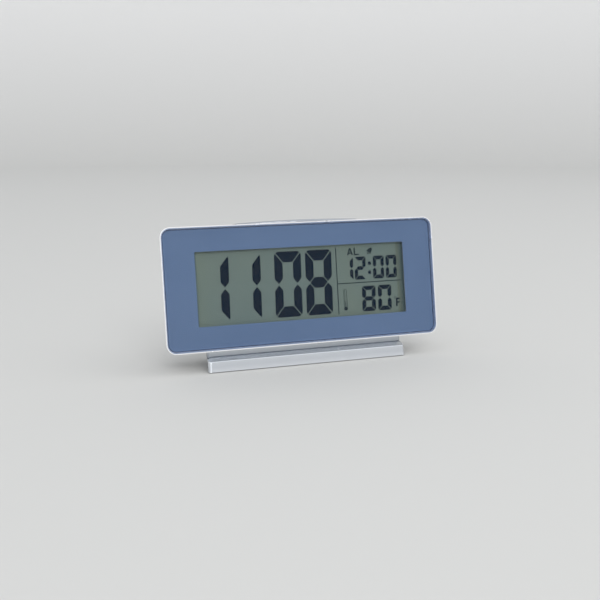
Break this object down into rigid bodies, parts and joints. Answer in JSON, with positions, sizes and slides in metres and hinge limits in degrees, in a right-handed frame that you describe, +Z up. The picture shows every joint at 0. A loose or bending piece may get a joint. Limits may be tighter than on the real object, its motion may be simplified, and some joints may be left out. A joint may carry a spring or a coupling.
{
  "type": "digital alarm clock",
  "caption": "Small desk clock with a wide liquid crystal display behind a blue face plate, leaning back on a low silver foot, with a snooze bar on top.",
  "frame": {"origin": "on the table under the middle of the clock, halfway between its foremost and rearmost edges", "axes": "+X to the viewer's right along the display, +Y from the display to the back, +Z up"},
  "size_m": [0.1418, 0.0376, 0.0693],
  "materials": {
    "clear_acrylic": "gloss",
    "blue_print": "satin",
    "adhesive": "matte",
    "silver_shell": "satin metallic paint",
    "silver_trim": "satin metallic paint",
    "grey_key": "satin",
    "display_glass": "gloss",
    "polarizer": "matte",
    "white_plastic": "matte",
    "guide_acrylic": "gloss",
    "black_rubber": "matte",
    "board": "satin",
    "black_epoxy": "satin",
    "steel": "plain",
    "nickel_spring": "bright",
    "brass_disc": "satin",
    "cell_jacket": "gloss print",
    "aluminium_can": "satin",
    "red_wire": "gloss",
    "black_wire": "gloss",
    "black_plastic": "satin"
  },
  "bodies": {
    "clock": {"alarm_switch": "steel", "backlight_leds": "white_plastic", "battery_springs": "nickel_spring", "board_screws": "steel", "bridge_contact": "nickel_spring", "buzzer": "brass_disc", "buzzer_leads": "red_wire", "capacitor": "aluminium_can", "case_screws": "steel", "chip_cover": "black_epoxy", "chip_parts": "black_epoxy", "crystal": "aluminium_can", "foot": "silver_trim", "foot_pads": "black_rubber", "foot_screws": "steel", "front_case": "silver_shell", "front_lens": "clear_acrylic", "key_switches": "steel", "lcd_front_glass": "display_glass", "lcd_front_polarizer": "polarizer", "lcd_holder": "white_plastic", "lcd_rear_glass": "display_glass", "lcd_rear_polarizer": "polarizer", "lens_print": "blue_print", "lens_tape": "adhesive", "light_guide": "guide_acrylic", "light_reflector": "white_plastic", "lower_cell": "cell_jacket", "main_board": "board", "negative_contact": "nickel_spring", "negative_lead": "black_wire", "positive_contact": "nickel_spring", "positive_lead": "red_wire", "rear_case": "silver_shell", "snooze_switch": "steel", "thermistor": "black_epoxy", "upper_cell": "cell_jacket", "zebra_strip": "black_rubber"},
    "snooze_body": {"snooze_bar": "silver_trim", "snooze_plunger": "black_plastic"},
    "alarm_slide_body": {"alarm_slide": "grey_key", "alarm_switch_lever": "black_plastic"},
    "door_body": {"battery_door": "silver_shell"},
    "time_key_body": {"time_key": "grey_key", "time_key_plunger": "black_plastic"},
    "alarm_key_body": {"alarm_key": "grey_key", "alarm_key_plunger": "black_plastic"},
    "unit_key_body": {"unit_key": "grey_key", "unit_key_plunger": "black_plastic"},
    "hour_key_body": {"hour_key": "grey_key", "hour_key_plunger": "black_plastic"},
    "minute_key_body": {"minute_key": "grey_key", "minute_key_plunger": "black_plastic"}
  },
  "joints": [
    {"name": "snooze_press", "type": "slide", "parent": "clock", "child": "snooze_body", "axis": [0, -0.1719, -0.9851], "range_m": [0, 0.001], "stiffness_N_per_m": 600, "springref_m": -0.0005},
    {"name": "time_key_press", "type": "slide", "parent": "clock", "child": "time_key_body", "axis": [0, -0.9851, 0.1719], "range_m": [0, 0.0005], "stiffness_N_per_m": 1000, "springref_m": -0.0002},
    {"name": "alarm_key_press", "type": "slide", "parent": "clock", "child": "alarm_key_body", "axis": [0, -0.9851, 0.1719], "range_m": [0, 0.0005], "stiffness_N_per_m": 1000, "springref_m": -0.0002},
    {"name": "unit_key_press", "type": "slide", "parent": "clock", "child": "unit_key_body", "axis": [0, -0.9851, 0.1719], "range_m": [0, 0.0005], "stiffness_N_per_m": 1000, "springref_m": -0.0002},
    {"name": "hour_key_press", "type": "slide", "parent": "clock", "child": "hour_key_body", "axis": [0, -0.9851, 0.1719], "range_m": [0, 0.0005], "stiffness_N_per_m": 1000, "springref_m": -0.0002},
    {"name": "minute_key_press", "type": "slide", "parent": "clock", "child": "minute_key_body", "axis": [0, -0.9851, 0.1719], "range_m": [0, 0.0005], "stiffness_N_per_m": 1000, "springref_m": -0.0002},
    {"name": "alarm_slide_move", "type": "slide", "parent": "clock", "child": "alarm_slide_body", "axis": [1, 0, 0], "range_m": [0, 0.003]},
    {"name": "battery_door_open", "type": "hinge", "parent": "clock", "child": "door_body", "pos_m": [0, 0.01101, 0.01378], "axis": [-1, 0, 0], "range_deg": [0, 60]}
  ]
}
